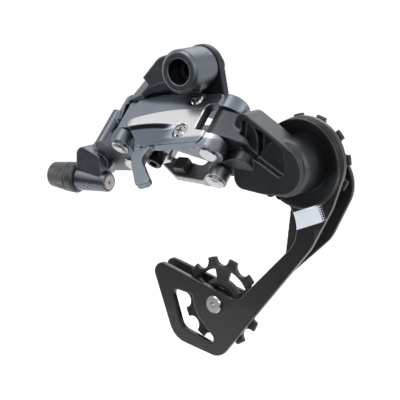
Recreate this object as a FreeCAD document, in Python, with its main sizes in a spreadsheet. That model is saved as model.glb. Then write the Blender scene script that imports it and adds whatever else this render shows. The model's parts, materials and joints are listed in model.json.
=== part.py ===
import FreeCAD, Part
import math
import os
import Sketcher

# Rear bicycle derailleur, in millimetres.
# +X forward, +Y inboard (towards the wheel), +Z up. The origin is on the hanger bolt's axis,
# at the face that seats on the frame's hanger.
# "Slant" frames are turned about X, so that their Z runs along the four parallelogram pins.

SIZES = {
    # hanger end
    "barrel_radius": 10.6, "barrel_front": -22.0, "barrel_back": -4.4, "recess_radius": 6.2,
    "recess_floor": -9.5, "seat_web": 1.0, "bolt_radius": 5.2, "thread_radius": 5.0, "bolt_head_radius": 5.9,
    "bolt_head_height": 4.0, "thread_length": 9.0, "sleeve_wall": 1.55, "run_gap": 0.05,
    "stop_plate_thickness": 3.9, "stop_plate_radius": 11.2, "hex_socket": 2.9,
    # parallelogram
    "slant": 46.0, "link_length": 54.9, "link_angle": -4.2, "rear_pin_x": -34.4,
    "rear_pin_across": 12.2, "pin_spread": 13.8, "pin_radius": 2.5, "pin_head_radius": 4.6,
    "pin_head_height": 1.0, "bush_wall": 1.0, "fork_low": -44.0, "fork_low_top": -37.0,
    "fork_high_base": -20.0, "fork_high": -13.8, "side_gap": 0.3, "lug_radius": 6.0,
    "front_low": -43.9, "front_low_top": -36.5, "front_high_base": -21.4, "front_high": -14.0,
    "inner_low": -49.6, "inner_low_top": -43.0, "inner_high": -16.0,
    "front_lug_radius": 7.2, "front_cap_radius": 9.0, "inner_lug_radius": 5.2,
    "link_wall": 5.0, "link_face": -10.0, "boss_radius": 6.0,
    # cable side
    "cable_axis_y": -15.5, "cable_axis_z": -60.0, "cable_boss_rear": -66.5,
    "cable_boss_mouth": -48.0, "cable_boss_radius": 6.2, "cable_mouth_radius": 4.85,
    "cable_hole_radius": 0.9, "knob_length": 18.0, "knob_radius": 7.8, "knob_end_radius": 6.4,
    "housing_socket_radius": 2.55, "housing_socket_depth": 9.0, "barrel_thread_radius": 2.6,
    # cage end
    "cage_axis_x": 53.0, "cage_axis_z": -41.5, "housing_radius": 13.6, "housing_front": -17.0,
    "housing_back": 3.8, "axle_radius": 5.0, "spring_mean_radius": 9.0, "spring_wire": 1.1,
    "chain_line": 10.0, "plate_gap": 3.8, "outer_plate_thickness": 3.0, "dish_floor": 1.8,
    "dish_rim_height": 2.2, "dish_floor_radius": 14.6, "dish_radius": 21.5,
    "inner_plate_thickness": 2.5, "guide_pulley_x": 3.1, "guide_pulley_z": -118.9,
    # pulleys
    "tooth_count": 11.0, "chain_pitch": 12.7, "roller_radius": 3.95, "tip_radius": 23.0,
    "tooth_thickness": 2.3, "hub_radius": 9.0, "hub_thickness": 5.4, "pulley_bolt_radius": 2.5,
    "pulley_bush_radius": 4.2, "shield_radius": 8.2, "bolt_face_radius": 4.5,
}

DOC = FreeCAD.newDocument("derailleur")
SHEET = DOC.addObject("Spreadsheet::Sheet", "Sizes")


class Size:
    """A sheet value, or a formula of them, that keeps its number and its text together."""

    def __init__(self, value, text):
        self.value = value
        self.text = text

    def __add__(self, other):
        other = as_size(other)
        return Size(self.value + other.value, f"({self.text} + {other.text})")

    def __sub__(self, other):
        other = as_size(other)
        return Size(self.value - other.value, f"({self.text} - {other.text})")

    def __mul__(self, other):
        other = as_size(other)
        return Size(self.value * other.value, f"({self.text} * {other.text})")

    def __truediv__(self, other):
        other = as_size(other)
        return Size(self.value / other.value, f"({self.text} / {other.text})")

    def __neg__(self):
        return Size(-self.value, f"(-1 * {self.text})")

    def __radd__(self, other):
        return as_size(other) + self

    def __rsub__(self, other):
        return as_size(other) - self

    def __rmul__(self, other):
        return as_size(other) * self


def as_size(number):
    """Wrap a plain number, and leave a Size as it is."""
    if isinstance(number, Size):
        return number
    return Size(float(number), f"({float(number)})")


def fill_sheet():
    """Write each driving size and its alias, and return them as Size values."""
    named = {}
    for row, (name, value) in enumerate(SIZES.items(), start=1):
        SHEET.set(f"A{row}", name)
        SHEET.set(f"B{row}", str(value))
        SHEET.setAlias(f"B{row}", name)
        named[name] = Size(value, f"Sizes.{name}")
    DOC.recompute()
    return named


D = fill_sheet()


def cosine(angle):
    """Cosine of a size in degrees."""
    return Size(math.cos(math.radians(angle.value)), f"cos({angle.text} * 1 deg)")


def sine(angle):
    """Sine of a size in degrees."""
    return Size(math.sin(math.radians(angle.value)), f"sin({angle.text} * 1 deg)")


# ---------------------------------------------------------------- frames

def turned(axis, degrees, x=0.0, y=0.0, z=0.0):
    """Placement turned about an axis through the origin, then moved."""
    return FreeCAD.Placement(FreeCAD.Vector(x, y, z), FreeCAD.Rotation(FreeCAD.Vector(*axis), degrees))


LEVEL = turned((0, 0, 1), 0)
ACROSS = turned((1, 0, 0), -90)     # local Z along +Y, local Y along -Z
SLANT = turned((1, 0, 0), -SIZES["slant"])
LINK_TURN = turned((0, 0, 1), SIZES["link_angle"])


def slant_point(x, across):
    """Slant frame moved so that its Z axis passes through (x, across)."""
    shift = turned((0, 0, 1), 0, as_size(x).value, as_size(across).value)
    return SLANT.multiply(shift)


FRONT_PIN_X = D["rear_pin_x"] + D["link_length"] * cosine(D["link_angle"])
FRONT_PIN_ACROSS = D["rear_pin_across"] + D["link_length"] * sine(D["link_angle"])
OUTER_LINK_FRAME = slant_point(D["rear_pin_x"], D["rear_pin_across"]).multiply(LINK_TURN)
INNER_LINK_FRAME = slant_point(D["rear_pin_x"], D["rear_pin_across"] + D["pin_spread"]).multiply(LINK_TURN)


def across_at(x, z):
    """Frame with local Z along +Y and its axis through (x, z)."""
    return turned((1, 0, 0), -90, as_size(x).value, 0.0, as_size(z).value)


# ---------------------------------------------------------------- sketches

PLANES = {"top": "XY_Plane", "face": "XZ_Plane", "end": "YZ_Plane"}


def origin_plane(body, plane):
    """The body's own origin plane of that name."""
    for feature in body.Origin.OriginFeatures:
        if feature.Role == PLANES[plane]:
            return feature
    raise ValueError(plane)


def new_sketch(body, plane, level):
    """Empty sketch on one of the body's planes, moved along the plane's normal."""
    sketch = body.newObject("Sketcher::SketchObject", body.Name + "_sketch")
    sketch.AttachmentSupport = [(origin_plane(body, plane), "")]
    sketch.MapMode = "FlatFace"
    level = as_size(level)
    sketch.AttachmentOffset = FreeCAD.Placement(FreeCAD.Vector(0, 0, level.value), FreeCAD.Rotation())
    sketch.setExpression("AttachmentOffset.Base.z", level.text)
    return sketch


def bind(sketch, index, size):
    """Tie one constraint to the sheet."""
    sketch.setExpression(f"Constraints[{index}]", size.text)


def pin_point(sketch, shape, corner, x, y):
    """Fix a point of a sketch element at x and y."""
    bind(sketch, sketch.addConstraint(Sketcher.Constraint("DistanceX", -1, 1, shape, corner, x.value)), x)
    bind(sketch, sketch.addConstraint(Sketcher.Constraint("DistanceY", -1, 1, shape, corner, y.value)), y)


def add_circle(sketch, x, y, radius):
    """Add a bound circle."""
    x, y, radius = as_size(x), as_size(y), as_size(radius)
    centre = FreeCAD.Vector(x.value, y.value, 0)
    shape = sketch.addGeometry(Part.Circle(centre, FreeCAD.Vector(0, 0, 1), radius.value), False)
    pin_point(sketch, shape, 3, x, y)
    bind(sketch, sketch.addConstraint(Sketcher.Constraint("Radius", shape, radius.value)), radius)


def tangent_side(start, end):
    """Angle of the outward normal of the line that touches two rounded corners."""
    run_x = end[0].value - start[0].value
    run_y = end[1].value - start[1].value
    gap = math.hypot(run_x, run_y)
    return math.atan2(run_y, run_x) - math.acos((start[2].value - end[2].value) / gap)


def on_corner(corner, angle):
    """Point where a line with that outward normal touches a corner."""
    radius = corner[2].value
    return FreeCAD.Vector(corner[0].value + radius * math.cos(angle),
                          corner[1].value + radius * math.sin(angle), 0)


def corner_arc(corner, arriving, leaving):
    """Arc of a rounded corner. A hollow corner has a negative radius and runs backwards."""
    centre = FreeCAD.Vector(corner[0].value, corner[1].value, 0)
    circle = Part.Circle(centre, FreeCAD.Vector(0, 0, 1), abs(corner[2].value))
    if corner[2].value > 0:
        return Part.ArcOfCircle(circle, arriving, leaving)
    return Part.ArcOfCircle(circle, leaving + math.pi, arriving + math.pi)


def check_turn(corner, arriving, leaving):
    """Refuse a corner whose radius has the wrong sign for the way the outline turns there."""
    sweep = leaving - arriving if corner[2].value > 0 else arriving - leaving
    if sweep % (2 * math.pi) > 1.5 * math.pi:
        raise ValueError(f"corner {corner[0].value:.1f}, {corner[1].value:.1f} turns the other way")


def add_outline(sketch, corners):
    """Closed anticlockwise outline of straight lines that touch rounded corners (x, y, radius).
    A radius of 0 is a sharp corner and a negative radius is a hollow one."""
    corners = [tuple(as_size(number) for number in corner) for corner in corners]
    count = len(corners)
    sides = [tangent_side(corners[i], corners[(i + 1) % count]) for i in range(count)]
    lines = []
    for i in range(count):
        start = on_corner(corners[i], sides[i])
        end = on_corner(corners[(i + 1) % count], sides[i])
        lines.append(sketch.addGeometry(Part.LineSegment(start, end), False))
    for i, corner in enumerate(corners):
        before = lines[i - 1]
        after = lines[i]
        if corner[2].value == 0:
            sketch.addConstraint(Sketcher.Constraint("Coincident", before, 2, after, 1))
            pin_point(sketch, after, 1, corner[0], corner[1])
            continue
        check_turn(corner, sides[i - 1], sides[i])
        arc = sketch.addGeometry(corner_arc(corner, sides[i - 1], sides[i]), False)
        first, last = (1, 2) if corner[2].value > 0 else (2, 1)
        sketch.addConstraint(Sketcher.Constraint("Tangent", before, 2, arc, first))
        sketch.addConstraint(Sketcher.Constraint("Tangent", arc, last, after, 1))
        pin_point(sketch, arc, 3, corner[0], corner[1])
        radius = corner[2] if corner[2].value > 0 else -corner[2]
        bind(sketch, sketch.addConstraint(Sketcher.Constraint("Radius", arc, radius.value)), radius)


def draw(body, plane, level, shape):
    """Sketch an outline, or a circle given as a single (x, y, radius)."""
    sketch = new_sketch(body, plane, level)
    if isinstance(shape, tuple):
        add_circle(sketch, *shape)
    else:
        add_outline(sketch, shape)
    return sketch


# ---------------------------------------------------------------- features

def new_body(name, frame=LEVEL):
    """Empty body in a frame."""
    body = DOC.addObject("PartDesign::Body", name)
    body.Label = name
    body.Placement = frame
    return body


def pad(body, plane, low, high, shape):
    """Add an outline between two levels along the plane's own axis."""
    low, high = as_size(low), as_size(high)
    level = -high if plane == "face" else low
    feature = body.newObject("PartDesign::Pad", body.Name + "_pad")
    feature.Profile = draw(body, plane, level, shape)
    feature.Length = high.value - low.value
    feature.setExpression("Length", (high - low).text)
    body.Tip = feature
    DOC.recompute()
    return feature


def pocket(body, plane, low, high, shape):
    """Cut an outline between two levels, and make sure that it takes something away."""
    low, high = as_size(low), as_size(high)
    before = body.Shape.Volume
    level = -low if plane == "face" else high
    feature = body.newObject("PartDesign::Pocket", body.Name + "_pocket")
    feature.Profile = draw(body, plane, level, shape)
    feature.Length = high.value - low.value
    feature.setExpression("Length", (high - low).text)
    body.Tip = feature
    DOC.recompute()
    if body.Shape.Volume >= before:
        raise ValueError(body.Name + " pocket cuts nothing")
    return feature


def turn(body, shape):
    """Revolve an outline (radius, height) about the body's Z axis."""
    feature = body.newObject("PartDesign::Revolution", body.Name + "_turn")
    sketch = draw(body, "face", 0, shape)
    feature.Profile = sketch
    feature.ReferenceAxis = (sketch, ["V_Axis"])
    feature.Angle = 360
    body.Tip = feature
    DOC.recompute()
    return feature


def groove(body, shape, degrees=360):
    """Cut a revolved outline (radius, height) about the body's Z axis."""
    before = body.Shape.Volume
    feature = body.newObject("PartDesign::Groove", body.Name + "_groove")
    sketch = draw(body, "face", 0, shape)
    feature.Profile = sketch
    feature.ReferenceAxis = (sketch, ["V_Axis"])
    feature.Angle = degrees
    body.Tip = feature
    DOC.recompute()
    if body.Shape.Volume >= before:
        raise ValueError(body.Name + " groove cuts nothing")
    return feature


def repeat_round(body, feature, count):
    """Repeat a feature about the body's Z axis."""
    pattern = body.newObject("PartDesign::PolarPattern", body.Name + "_pattern")
    pattern.Originals = [feature]
    pattern.Axis = (feature.Profile[0], ["V_Axis" if "groove" in feature.Name else "N_Axis"])
    pattern.Angle = 360
    pattern.Occurrences = int(round(as_size(count).value))
    body.Tip = pattern
    DOC.recompute()


def fused(name, pieces):
    """Join several shapes into one."""
    result = DOC.addObject("Part::MultiFuse", name)
    result.Label = name
    result.Shapes = pieces
    DOC.recompute()
    return result


def less(name, base, tools):
    """Cut several tools from a base."""
    tool = tools[0]
    if len(tools) > 1:
        tool = fused(name + "_tools", tools)
    result = DOC.addObject("Part::Cut", name)
    result.Label = name
    result.Base = base
    result.Tool = tool
    DOC.recompute()
    return result


def rod(name, frame, radius, low, high, x=0, y=0):
    """Plain round bar along a frame's Z axis, as a cutting or joining tool."""
    body = new_body(name, frame)
    pad(body, "top", low, high, (x, y, radius))
    return body


def ring_profile(inner, outer, low, high):
    """Rectangle of a ring, as (radius, height) corners."""
    return [(inner, low, 0), (outer, low, 0), (outer, high, 0), (inner, high, 0)]


def ring(name, frame, inner, outer, low, high):
    """Plain ring about a frame's Z axis."""
    body = new_body(name, frame)
    turn(body, ring_profile(inner, outer, low, high))
    return body


def hexagon(half_width, x=0.0, y=0.0):
    """Six sharp corners of a hexagon with that half width across its flats."""
    reach = half_width / math.cos(math.pi / 6)
    return [(x + reach * math.cos(k * math.pi / 3), y + reach * math.sin(k * math.pi / 3),
             0) for k in range(6)]


NODES = []


def keep(piece):
    """Mark an object as a sub-part to be written."""
    NODES.append(piece)
    return piece


# ---------------------------------------------------------------- hanger end

SLEEVE_RADIUS = D["bolt_radius"] + D["run_gap"] + D["sleeve_wall"]
SEAT_INNER = D["recess_floor"] + D["seat_web"]


def knuckle_barrel():
    """Solid barrel that the hanger bolt passes through."""
    rim = 1.3
    body = new_body("knuckle_barrel", ACROSS)
    outer = D["barrel_radius"]
    turn(body, [(0, D["barrel_front"], 0), (outer - rim, D["barrel_front"], 0),
                (outer, D["barrel_front"] + rim, 0), (outer, D["barrel_back"], 0), (0, D["barrel_back"], 0)])
    return body


def barrel_bore():
    """Room for the bolt head, the seat under it, and the sleeve."""
    body = new_body("barrel_bore", ACROSS)
    past = 1.0
    turn(body, [(0, D["barrel_front"] - past, 0), (D["recess_radius"], D["barrel_front"] - past, 0),
                (D["recess_radius"], D["recess_floor"], 0), (D["bolt_radius"] + 0.3, D["recess_floor"], 0),
                (D["bolt_radius"] + 0.3, SEAT_INNER, 0), (SLEEVE_RADIUS, SEAT_INNER, 0),
                (SLEEVE_RADIUS, D["barrel_back"] + past, 0), (0, D["barrel_back"] + past, 0)])
    return body


ARM_FRONT = -13.5


def link_profile(margin):
    """Side view (forward, along the pins) of the space that the outer link sweeps, with a margin above it."""
    x = D["rear_pin_x"]
    top = D["front_high"] + margin
    return [(x + 6.6, -60, 0), (x + 60, -60, 0), (x + 60, top + 0.9, 0), (x + 30, top + 0.9, 0),
            (x + 26, top - 0.6, 0), (x + 17, top - 1.8, 0), (x + 11, top - 3.6, 0), (x + 6.6, top - 5.8, 0)]


def knuckle_arm():
    """Web from the barrel down to the cable stop, cut back along the outer link's upper edge."""
    web = new_body("knuckle_web_plate")
    pad(web, "face", ARM_FRONT, D["barrel_back"],
        [(0, 0, D["barrel_radius"] - 0.8), (-13, -3.6, 9.5), (-58.6, -51, 8.0), (-49, -50, 2.0),
         (-42, -33, -3.0),
         (-13, -20, 2.0)])
    room = new_body("web_room", SLANT)
    pad(room, "face", -30, 60, link_profile(0.7))
    return less("knuckle_arm", web, [room, arm_bevel()])


def arm_bevel():
    """Wedge that takes the wide bevel off the arm's outer rear edge."""
    body = new_body("arm_bevel", turned((0, 1, 0), 135, -13.0, 0.0, -4.0))
    past = ARM_FRONT - 1
    pad_along = 74
    pad(body, "end", 12, pad_along, [(past, -10.5, 0), (ARM_FRONT + 5.5, -10.5, 0), (past, -3.4, 0)])
    return body


def knuckle_forks():
    """Two arms that hold the rear ends of the pins, and the spine behind them."""
    body = new_body("knuckle_forks", SLANT)
    x = D["rear_pin_x"]
    outer = D["rear_pin_across"]
    inner = outer + D["pin_spread"]
    spine = [(x - 12.5, outer + 1, 3.6), (x - 12.5, inner - 2, 3.6), (x - 17, inner + 1, 5)]
    pad(body, "top", D["fork_low"], D["fork_low_top"],
        [(x, outer, D["lug_radius"] + 0.3), (x, inner, D["lug_radius"] - 0.3), (x - 20, inner + 3, 6.5)])
    pad(body, "top", D["fork_low"], D["fork_high_base"] - 4, spine)
    pad(body, "top", D["fork_low_top"] + 8, D["fork_high"], [(x - 8, outer + 2, 4), (x - 8, inner - 4, 4),
                                                            (x - 11, outer + 4, 4)])
    pad(body, "top", D["fork_high_base"], D["fork_high"],
        [(x, outer, D["lug_radius"]), (x, inner, D["lug_radius"] - 0.4), (x - 8, inner - 4, 4)])
    return body


def cable_boss():
    """Tapered boss that the cable leaves from, along +X."""
    body = new_body("cable_boss", turned((0, 1, 0), 90, 0, D["cable_axis_y"].value, D["cable_axis_z"].value))
    turn(body, [(0, D["cable_boss_rear"], 0), (D["cable_boss_radius"], D["cable_boss_rear"], 0),
                (D["cable_mouth_radius"], D["cable_boss_mouth"], 0), (0, D["cable_boss_mouth"], 0)])
    return body


def cable_boss_web():
    """Web that joins the cable boss to the arm above it."""
    body = new_body("cable_boss_web")
    pad(body, "face", D["cable_axis_y"] - 4.0, D["cable_axis_y"] + 5.0,
        [(-64, -58, 2.4), (-52, -57, 1.5), (-53, -48, 2.0), (-62, -47, 4.0)])
    return body


LINER_START = D["cable_boss_mouth"] - 2.4
LINER_RADIUS = 3.6
ADJUSTER_BARREL_END = D["cable_boss_rear"] + 7.5


def cable_bore():
    """Way through the boss: thread for the adjuster, cable passage and seat of the liner."""
    body = new_body("cable_bore", turned((0, 1, 0), 90, 0, D["cable_axis_y"].value, D["cable_axis_z"].value))
    thread = D["barrel_thread_radius"] + D["run_gap"]
    past = 1.0
    turn(body, [(0, D["cable_boss_rear"] - past, 0), (thread, D["cable_boss_rear"] - past, 0),
                (thread, ADJUSTER_BARREL_END + 0.5, 0), (1.6, ADJUSTER_BARREL_END + 0.5, 0),
                (1.6, LINER_START, 0), (LINER_RADIUS, LINER_START, 0),
                (LINER_RADIUS, D["cable_boss_mouth"] + past, 0), (0, D["cable_boss_mouth"] + past, 0)])
    return body


def link_room():
    """Room for both links through their whole swing."""
    body = new_body("link_room", SLANT)
    x = D["rear_pin_x"]
    outer = D["rear_pin_across"]
    inner = outer + D["pin_spread"]
    lug_room = D["lug_radius"] + 0.8
    low = D["fork_low_top"]
    high = D["fork_high_base"]
    pad(body, "top", low, high, [(x, outer, lug_room), (x, outer - 14, lug_room), (x + 60, outer - 14, 2),
                                 (x + 60, inner + 12, 2), (x, inner, D["inner_lug_radius"] + 0.7)])
    pad(body, "face", outer + D["link_face"] - 3, inner + 20, link_profile(0.7))
    return body


def b_knuckle():
    """Forging that carries the hanger bolt, the rear pins and the cable stop."""
    lug = rod("tension_screw_lug", TENSION_FRAME, 3.4, 2.4, 5.6)
    solid = fused("knuckle_solid",
                  [knuckle_barrel(), knuckle_arm(), knuckle_forks(), cable_boss(), cable_boss_web(), lug])
    outer = D["rear_pin_across"]
    holes = [rod(f"rear_hole_{k}", SLANT, D["pin_radius"], D["fork_low"] - 2, D["fork_high"] + 2,
                 D["rear_pin_x"], across) for k, across in enumerate([outer, outer + D["pin_spread"]])]
    screw = rod("tension_screw_hole", TENSION_FRAME, D["run_gap"] + TENSION_RADIUS, -0.3, TENSION_LENGTH + 2)
    head = rod("tension_head_room", TENSION_FRAME, 3.2, -6, 2.0)
    return keep(less("b_knuckle", solid,
                     [barrel_bore(), link_room(), cable_bore(), screw, head] + holes))


def hanger_bolt():
    """Bolt that the derailleur hangs and turns on: hex head in the recess, M10 end in the hanger."""
    body = new_body("hanger_bolt", ACROSS)
    seat = D["recess_floor"] - 0.1
    top = seat - D["bolt_head_height"]
    turn(body, [(0, top, 0), (D["bolt_head_radius"] - 0.6, top, 0), (D["bolt_head_radius"], top + 0.6, 0),
                (D["bolt_head_radius"], seat, 0), (D["bolt_radius"], seat, 0),
                (D["bolt_radius"], 0, 0), (D["thread_radius"], 0, 0),
                (D["thread_radius"], D["thread_length"], 0),
                (D["thread_radius"] - 1, D["thread_length"] + 1, 0),
                (0, D["thread_length"] + 1, 0)])
    pocket(body, "top", top - 1, top + 3, hexagon(D["hex_socket"].value))
    return keep(body)


def hanger_sleeve():
    """Plain bearing sleeve pressed into the barrel."""
    return keep(ring("hanger_sleeve", ACROSS, D["bolt_radius"] + D["run_gap"], SLEEVE_RADIUS,
                     SEAT_INNER, D["barrel_back"]))


PLATE_FRONT = -D["stop_plate_thickness"]
TENSION_RADIUS = 1.5
TENSION_LENGTH = 8.0
TENSION_TURN = 108.0
TENSION_TIP_X = -17.33
TENSION_TIP_Z = -10.11


def tension_frame():
    """Frame of the tension screw: its Z runs from the head to the tip."""
    turn_rad = math.radians(TENSION_TURN)
    x = TENSION_TIP_X - TENSION_LENGTH * math.sin(turn_rad)
    z = TENSION_TIP_Z - TENSION_LENGTH * math.cos(turn_rad)
    return turned((0, 1, 0), TENSION_TURN, x, -SIZES["stop_plate_thickness"] / 2, z)


TENSION_FRAME = tension_frame()


def b_stop_plate():
    """Plate clamped against the hanger, with the tab that the tension screw pushes."""
    body = new_body("b_stop_plate")
    pad(body, "face", PLATE_FRONT, 0,
        [(0, 0, D["stop_plate_radius"]), (-15.5, -12.5, 2.5), (11.5, -11.2, 2.2)])
    pocket(body, "face", PLATE_FRONT - 1, 1, (0, 0, D["bolt_radius"] + D["run_gap"]))
    return keep(body)


def b_tension_screw():
    """Socket screw in the arm that sets the angle of the derailleur on its hanger."""
    body = new_body("b_tension_screw", TENSION_FRAME)
    turn(body, [(0, -3.2, 0), (2.4, -3.2, 0), (2.7, -2.9, 0), (2.7, 0, 0), (TENSION_RADIUS, 0, 0),
                (TENSION_RADIUS, TENSION_LENGTH - 1, 0), (0.8, TENSION_LENGTH, 0), (0, TENSION_LENGTH, 0)])
    pocket(body, "top", -4, -1.4, hexagon(1.0))
    return keep(body)


# ---------------------------------------------------------------- pins

def pin(name, frame, head_base, top, x=0, y=0):
    """Rivet-like pin with a wide, slightly hollow head at its lower end."""
    body = new_body(name, frame)
    head = D["pin_head_radius"]
    low = head_base - D["pin_head_height"]
    turn(body, [(0, low + 0.35, 0), (head - 0.9, low, 0), (head - 0.3, low, 0), (head, low + 0.3, 0),
                (head, head_base, 0), (D["pin_radius"], head_base, 0), (D["pin_radius"], top - 0.4, 0),
                (D["pin_radius"] - 0.4, top, 0), (0, top, 0)])
    return keep(body)


def pin_bush(name, frame, low, high):
    """Dry bush between a pin and the lug that turns on it."""
    inner = D["pin_radius"] + D["run_gap"]
    return keep(ring(name, frame, inner, inner + D["bush_wall"], low, high))


BUSH_OUTER = D["pin_radius"] + D["run_gap"] + D["bush_wall"]
LUG_LOW = D["fork_low_top"] + D["side_gap"]
LUG_HIGH = D["fork_high_base"] - D["side_gap"]
BOSS_LOW = D["front_low_top"] + D["side_gap"]
BOSS_HIGH = D["front_high_base"] - D["side_gap"]
INNER_BOSS_LOW = D["inner_low_top"] + D["side_gap"]


# ---------------------------------------------------------------- outer link

LIMIT_SCREW_X = 39.5
LIMIT_SCREW_LEVELS = {"high_limit_screw": -18.9, "low_limit_screw": -38.0}
LIMIT_HEAD_RADIUS = 3.4
LIMIT_RECESS_RADIUS = 4.2
LIMIT_SHANK_RADIUS = 2.0
WALL_FRONT = D["link_face"] + 1.0
WALL_BACK = WALL_FRONT + D["link_wall"]
ANCHOR_X = 21.3
ANCHOR_Y = 4.4
ANCHOR_SEAT = -44.0


def outer_link_lugs(body):
    """Rear lug and the two arms of the front fork."""
    wall = (WALL_FRONT + WALL_BACK) / 2
    half = D["link_wall"] / 2
    far = D["link_length"]
    pad(body, "top", LUG_LOW, LUG_HIGH, [(0, 0, D["lug_radius"]), (15, wall, half), (18, wall, half)])
    pad(body, "top", D["front_high_base"], D["front_high"],
        [(far, 0, D["front_cap_radius"] - 1), (36, wall + 3, 3), (30, wall, half)])
    pad(body, "top", D["front_low"], D["front_low_top"],
        [(far, 0, D["front_lug_radius"]), (36, wall + 3, 3), (30, wall, half)])


def outer_link_recesses(body):
    """Fork window, screw recesses, pin holes and the scoop along the lower face."""
    far = D["link_length"]
    pocket(body, "face", -20, 20, [(far - 5.4, D["front_low_top"] + 2, 2), (far + 14, D["front_low_top"], 0),
                                   (far + 14, D["front_high_base"], 0),
                                   (far - 5.4, D["front_high_base"] - 2, 2)])
    for level in LIMIT_SCREW_LEVELS.values():
        pocket(body, "face", -20, WALL_FRONT + 1.4, (LIMIT_SCREW_X, level, LIMIT_RECESS_RADIUS))
        pocket(body, "face", -20, 20, (LIMIT_SCREW_X, level, D["run_gap"] + LIMIT_SHANK_RADIUS))
    pocket(body, "top", -60, 0, (0, 0, BUSH_OUTER))
    pocket(body, "top", -60, 0, (far, 0, D["pin_radius"]))
    pocket(body, "top", -60, ANCHOR_SEAT + 8, (ANCHOR_X, ANCHOR_Y, D["pin_radius"]))


def outer_link():
    """Outer side of the parallelogram, with the cable fin and the anchor's boss."""
    body = new_body("outer_link", OUTER_LINK_FRAME)
    top = D["front_high"]
    far = D["link_length"]
    pad(body, "face", WALL_FRONT, WALL_BACK,
        [(7, LUG_LOW + 3, 3), (19, -44.5, 3), (far - 24.9, D["front_low"] + 1.5, 5),
         (far - 4.9, D["front_low"] + 4, 4), (far - 4.9, top - 4, 4), (far - 16.9, top - 5.4, 5),
         (17, top - 8.5, 6), (8, LUG_HIGH - 3.5, 3.5)])
    outer_link_lugs(body)
    pad(body, "top", ANCHOR_SEAT, ANCHOR_SEAT + 7,
        [(ANCHOR_X, ANCHOR_Y, 4.2), (ANCHOR_X - 2, -6, 3), (ANCHOR_X + 5, -6, 3)])
    pad(body, "face", WALL_BACK - 3.6, WALL_BACK,
        [(15.5, -43, 3.0), (22, -57, 2.3), (30.5, -67.5, 2.4), (33.5, -66.5, 2.2),
                                                   (29.6, -53, -5), (25, -42, 2.6)])
    outer_link_recesses(body)
    return keep(body)


def limit_screw(name, level):
    """Cross-head screw across the link's wall."""
    frame = OUTER_LINK_FRAME.multiply(turned((1, 0, 0), -90, LIMIT_SCREW_X, 0, level))
    body = new_body(name, frame)
    seat = WALL_FRONT + 1.4
    head = 1.6
    turn(body, [(0, seat - head, 0), (LIMIT_HEAD_RADIUS - 0.7, seat - head, 0),
                (LIMIT_HEAD_RADIUS, seat - head + 0.7, 0), (LIMIT_HEAD_RADIUS, seat, 0),
                (LIMIT_SHANK_RADIUS, seat, 0), (LIMIT_SHANK_RADIUS, 1.4, 0), (1.2, 2.2, 0), (0, 2.2, 0)])
    slot_half, slot_reach = 0.45, 1.9
    for half_x, half_y in ((slot_half, slot_reach), (slot_reach, slot_half)):
        pocket(body, "top", seat - head - 1, seat - head + 1.1,
               [(-half_x, -half_y, 0), (half_x, -half_y, 0), (half_x, half_y, 0), (-half_x, half_y, 0)])
    return keep(body)


ANCHOR_FRAME = OUTER_LINK_FRAME.multiply(turned((0, 0, 1), 0, ANCHOR_X, ANCHOR_Y, ANCHOR_SEAT))
WASHER_HEIGHT = 1.4


def cable_anchor_bolt():
    """Socket-head bolt that clamps the cable under its washer."""
    body = new_body("cable_anchor_bolt", ANCHOR_FRAME)
    seat = -WASHER_HEIGHT
    head = 4.0
    low = seat - head
    turn(body, [(0, low, 0), (3.5, low, 0), (3.9, low + 0.4, 0), (3.9, seat, 0), (D["pin_radius"], seat, 0),
                (D["pin_radius"], 7.0, 0), (D["pin_radius"] - 0.5, 7.5, 0), (0, 7.5, 0)])
    pocket(body, "top", low - 1, low + 2.4, hexagon(2.0))
    return keep(body)


def cable_clamp_washer():
    """Eared washer, with a groove for the cable and a notch that keeps it from turning."""
    body = new_body("cable_clamp_washer", ANCHOR_FRAME)
    pad(body, "top", -WASHER_HEIGHT, 0, [(-2, -1, 3.9), (7.5, -2.2, 0), (7.5, 2.6, 0), (0, 2.5, 2.6)])
    pocket(body, "top", -5, 5, (0, 0, D["pin_radius"]))
    pocket(body, "top", -5, 5, [(6.2, -0.6, 0), (9, -0.6, 0), (9, 1.2, 0), (6.2, 1.2, 0)])
    return keep(body)


# ---------------------------------------------------------------- inner link

SPRING_LOW = -29.8
SPRING_HIGH = -22.4


def inner_link():
    """Inner side of the parallelogram, with room for the return spring in its rear lug."""
    body = new_body("inner_link", INNER_LINK_FRAME)
    far = D["link_length"]
    near, back = 1.3, 5.0
    wall = (near + back) / 2
    half = (back - near) / 2
    inner_high = D["inner_high"]
    pad(body, "face", near, back, [(9, LUG_LOW + 3.2, 3), (29, -44, 4), (far - 2, D["inner_low"] + 3, 3),
                                   (far - 2, inner_high - 3, 3), (20, inner_high - 4, 4),
                                   (6.5, LUG_HIGH - 3, 3)])
    pad(body, "top", LUG_LOW, LUG_HIGH, [(0, 0, D["inner_lug_radius"]), (10, wall, half)])
    for low, high in ((D["inner_low"], D["inner_low_top"]), (D["front_high_base"], inner_high)):
        pad(body, "top", low, high, [(far, 0, D["inner_lug_radius"] + 0.2), (far - 8, wall, half)])
    pocket(body, "face", -10, 10, [(far - 5.5, D["inner_low_top"] + 2, 2), (far + 9, D["inner_low_top"], 0),
                                   (far + 9, D["front_high_base"], 0),
                                   (far - 5.5, D["front_high_base"] - 2, 2)])
    pocket(body, "face", -10, 10, [(22, -34, 3), (40, -37, 3), (42, -26, 3), (22, -24, 3)])
    pocket(body, "top", SPRING_LOW, SPRING_HIGH, (0, 0, D["inner_lug_radius"] + 0.5))
    pocket(body, "top", -60, 0, (0, 0, BUSH_OUTER))
    pocket(body, "top", -60, 0, (far, 0, D["pin_radius"]))
    return keep(body)


def limit_stop_block():
    """Block on the inner link that the limit screws face."""
    body = new_body("limit_stop_block", INNER_LINK_FRAME)
    pad(body, "top", -46.0, -39.5, [(29, -2.2, 0.8), (34, -2.2, 0.8), (34, 0.5, 0.8), (29, 0.5, 0.8)])
    return keep(body)


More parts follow.
